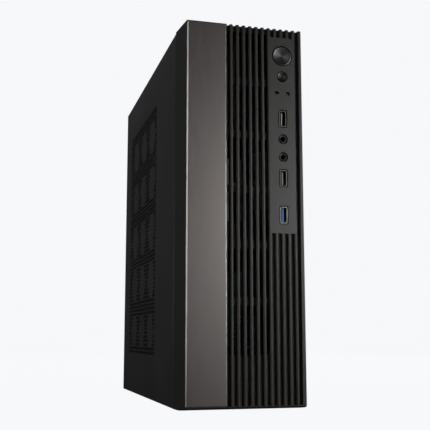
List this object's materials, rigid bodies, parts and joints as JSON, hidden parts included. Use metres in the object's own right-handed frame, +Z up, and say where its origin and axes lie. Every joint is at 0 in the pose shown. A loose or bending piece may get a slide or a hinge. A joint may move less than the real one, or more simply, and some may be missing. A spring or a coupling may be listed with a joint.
{
  "type": "desktop computer tower",
  "caption": "Slim upright desktop computer with a ribbed front bezel, a metal strip, front ports and buttons, and a vented side cover that slides off.",
  "frame": {"origin": "middle of the footprint, on the surface under the feet", "axes": "+Z up; the front bezel faces -Y and the ports face +Y; +X is to the right as seen from the front"},
  "size_m": [0.104, 0.297, 0.3128],
  "materials": {
    "black_moulding": "fine moulded texture",
    "satin_strip": "satin grey with polished edges",
    "spun_cap": "circular brushed",
    "smoked_lens": "smoked clear",
    "green_board": "solder mask",
    "foot_rubber": "matte",
    "plated_steel": "nickel plated",
    "white_insulator": "moulded",
    "blue_insulator": "moulded",
    "black_screw": "black oxide",
    "zinc_steel": "zinc plated",
    "bright_wire": "bright",
    "fan_plastic": "moulded",
    "brass_contact": "plain",
    "fin_aluminium": "extruded",
    "drive_case": "satin",
    "lead_sleeve": "braided sleeve",
    "black_steel": "fine textured powder coat"
  },
  "bodies": {
    "case": {"base_panel": "black_steel", "board_power_socket": "white_insulator", "board_screws": "zinc_steel", "board_standoffs": "brass_contact", "card_slots": "black_moulding", "chipset_cooler": "fin_aluminium", "cooler_fan_frame": "black_moulding", "drive_bracket": "zinc_steel", "drive_light": "smoked_lens", "drive_screws": "zinc_steel", "fast_usb_shell": "plated_steel", "fast_usb_tongue": "blue_insulator", "front_bezel": "black_moulding", "front_frame": "black_steel", "front_io_board": "green_board", "front_panel_lead": "lead_sleeve", "lower_audio_jack": "black_moulding", "main_power_lead": "lead_sleeve", "mains_inlet": "black_moulding", "mains_pins": "brass_contact", "mains_switch_frame": "black_moulding", "memory_module": "green_board", "memory_slots": "black_moulding", "metal_strip": "satin_strip", "middle_usb_shell": "plated_steel", "middle_usb_tongue": "black_moulding", "motherboard": "green_board", "port_shield": "zinc_steel", "power_light": "smoked_lens", "power_switch": "black_moulding", "processor": "plated_steel", "processor_cooler": "fin_aluminium", "processor_socket": "white_insulator", "rear_audio_jacks": "black_moulding", "rear_display_socket": "plated_steel", "rear_network_socket": "plated_steel", "rear_panel": "black_steel", "rear_usb_sockets": "plated_steel", "reset_switch": "black_moulding", "right_side_panel": "black_steel", "rubber_feet": "foot_rubber", "slot_covers": "black_steel", "slot_screws": "zinc_steel", "storage_drive": "drive_case", "supply_case": "zinc_steel", "supply_fan_frame": "black_moulding", "supply_fan_guard": "bright_wire", "top_panel": "black_steel", "upper_audio_jack": "black_moulding", "upper_usb_shell": "plated_steel", "upper_usb_tongue": "black_moulding"},
    "left_cover": {"left_side_panel": "black_steel", "side_panel_flanges": "black_steel"},
    "lower_screw": {"lower_thumbscrew": "black_screw"},
    "upper_screw": {"upper_thumbscrew": "black_screw"},
    "power_cap": {"power_button": "spun_cap"},
    "reset_cap": {"reset_button": "spun_cap"},
    "cooler_fan": {"cooler_fan_rotor": "fan_plastic"},
    "supply_fan": {"supply_fan_rotor": "fan_plastic"},
    "mains_rocker": {"mains_switch_rocker": "fan_plastic"}
  },
  "joints": [
    {"name": "cover_slide", "type": "slide", "parent": "case", "child": "left_cover", "axis": [0, 1, 0], "range_m": [0, 0.02]},
    {"name": "lower_screw_turn", "type": "hinge", "parent": "left_cover", "child": "lower_screw", "pos_m": [-0.0455, 0.1435, 0.0696], "axis": [0, 1, 0], "continuous": true},
    {"name": "upper_screw_turn", "type": "hinge", "parent": "left_cover", "child": "upper_screw", "pos_m": [-0.0455, 0.1435, 0.2406], "axis": [0, 1, 0], "continuous": true},
    {"name": "power_press", "type": "slide", "parent": "case", "child": "power_cap", "axis": [0, 1, 0], "range_m": [0, 0.0015], "stiffness_N_per_m": 900},
    {"name": "reset_press", "type": "slide", "parent": "case", "child": "reset_cap", "axis": [0, 1, 0], "range_m": [0, 0.001], "stiffness_N_per_m": 900},
    {"name": "cooler_fan_spin", "type": "hinge", "parent": "case", "child": "cooler_fan", "pos_m": [-0.0047, 0.0415, 0.1876], "axis": [1, 0, 0], "continuous": true},
    {"name": "supply_fan_spin", "type": "hinge", "parent": "case", "child": "supply_fan", "pos_m": [-0.019, 0.1224, 0.2884], "axis": [0, 1, 0], "continuous": true},
    {"name": "mains_rock", "type": "hinge", "parent": "case", "child": "mains_rocker", "pos_m": [0.0326, 0.1394, 0.2884], "axis": [1, 0, 0], "range_deg": [-14, 0]}
  ]
}
